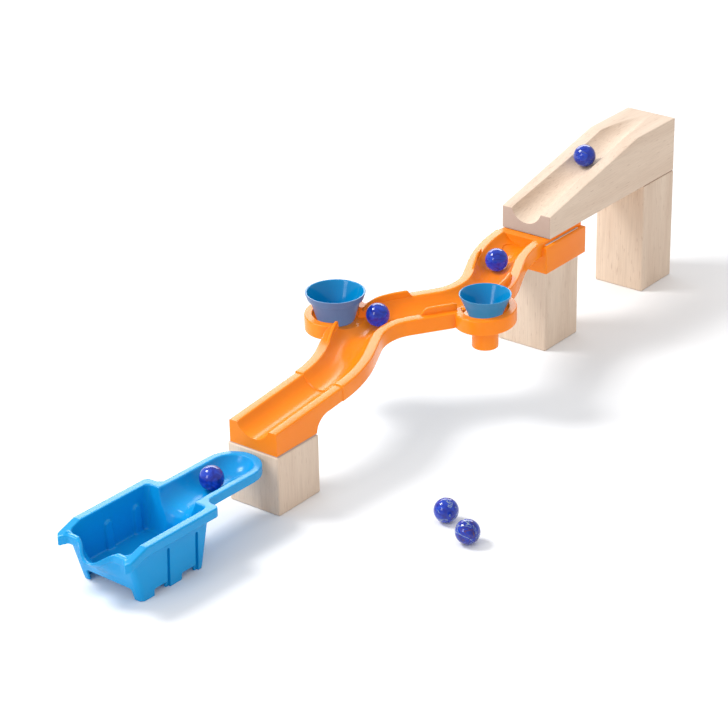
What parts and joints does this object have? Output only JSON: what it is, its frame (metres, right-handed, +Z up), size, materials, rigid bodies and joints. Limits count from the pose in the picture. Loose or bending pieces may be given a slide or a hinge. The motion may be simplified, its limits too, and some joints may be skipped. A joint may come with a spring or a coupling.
{
  "type": "marble run",
  "caption": "Marble run: grooved wooden ramp on wooden blocks, moulded S-shaped track with two cups in rings, a scoop that catches the marbles.",
  "frame": {"origin": "centre of the front block's underside, on the surface that the run stands on", "axes": "+X runs up the run, from the scoop and front block to the ramp; +Z is up; +Y completes the right-hand frame, to the left when looking up the run"},
  "size_m": [0.5992, 0.2053, 0.1246],
  "materials": {
    "beech": "sanded beech, untreated, with fine dark flecks along the grain",
    "orange_plastic": "orange moulded plastic, semi-gloss, slightly translucent",
    "scoop_blue": "light blue moulded plastic, semi-gloss",
    "cup_blue": "blue moulded plastic, glossy",
    "marble_glass": "opaque cobalt glass with swirls, polished"
  },
  "bodies": {
    "base": {"front_block": "beech", "middle_block": "beech", "rear_block": "beech", "s_track": "orange_plastic"},
    "ramp": {"wooden_ramp": "beech"},
    "left_cup": {"left_cup": "cup_blue"},
    "right_cup": {"right_cup": "cup_blue"},
    "scoop": {"scoop": "scoop_blue"},
    "scoop_marble": {"scoop_marble": "marble_glass"},
    "ramp_marble": {"ramp_marble": "marble_glass"},
    "upper_marble": {"upper_marble": "marble_glass"},
    "middle_marble": {"middle_marble": "marble_glass"},
    "loose_marble_1": {"loose_marble_1": "marble_glass"},
    "loose_marble_2": {"loose_marble_2": "marble_glass"}
  },
  "joints": [
    {"name": "ramp_lift", "type": "slide", "parent": "base", "child": "ramp", "axis": [0, 0, 1], "range_m": [0, 0.06]},
    {"name": "ramp_marble_roll", "type": "slide", "parent": "ramp", "child": "ramp_marble", "axis": [-0.9686, 0, -0.2485], "range_m": [0, 0.05]},
    {"name": "left_cup_spin", "type": "hinge", "parent": "base", "child": "left_cup", "pos_m": [0.12, 0.0447, 0.0636], "axis": [0, 0, 1], "continuous": true},
    {"name": "right_cup_spin", "type": "hinge", "parent": "base", "child": "right_cup", "pos_m": [0.1731, -0.0374, 0.0686], "axis": [0, 0, 1], "continuous": true},
    {"name": "upper_marble_roll", "type": "slide", "parent": "base", "child": "upper_marble", "axis": [-0.9078, -0.4104, -0.0867], "range_m": [0, 0.018]},
    {"name": "middle_marble_roll", "type": "slide", "parent": "base", "child": "middle_marble", "axis": [-0.9835, 0.1544, -0.0939], "range_m": [0, 0.01]},
    {"name": "scoop_pull", "type": "slide", "parent": "base", "child": "scoop", "axis": [-1, 0, 0], "range_m": [0, 0.1]},
    {"name": "scoop_marble_roll", "type": "slide", "parent": "scoop", "child": "scoop_marble", "axis": [-0.9995, 0.0314, 0], "range_m": [0, 0.014]},
    {"name": "loose_marble_1_roll", "type": "slide", "parent": "base", "child": "loose_marble_1", "axis": [1, 0, 0], "range_m": [0, 0.05]},
    {"name": "loose_marble_2_roll", "type": "slide", "parent": "base", "child": "loose_marble_2", "axis": [-1, 0, 0], "range_m": [0, 0.05]}
  ]
}
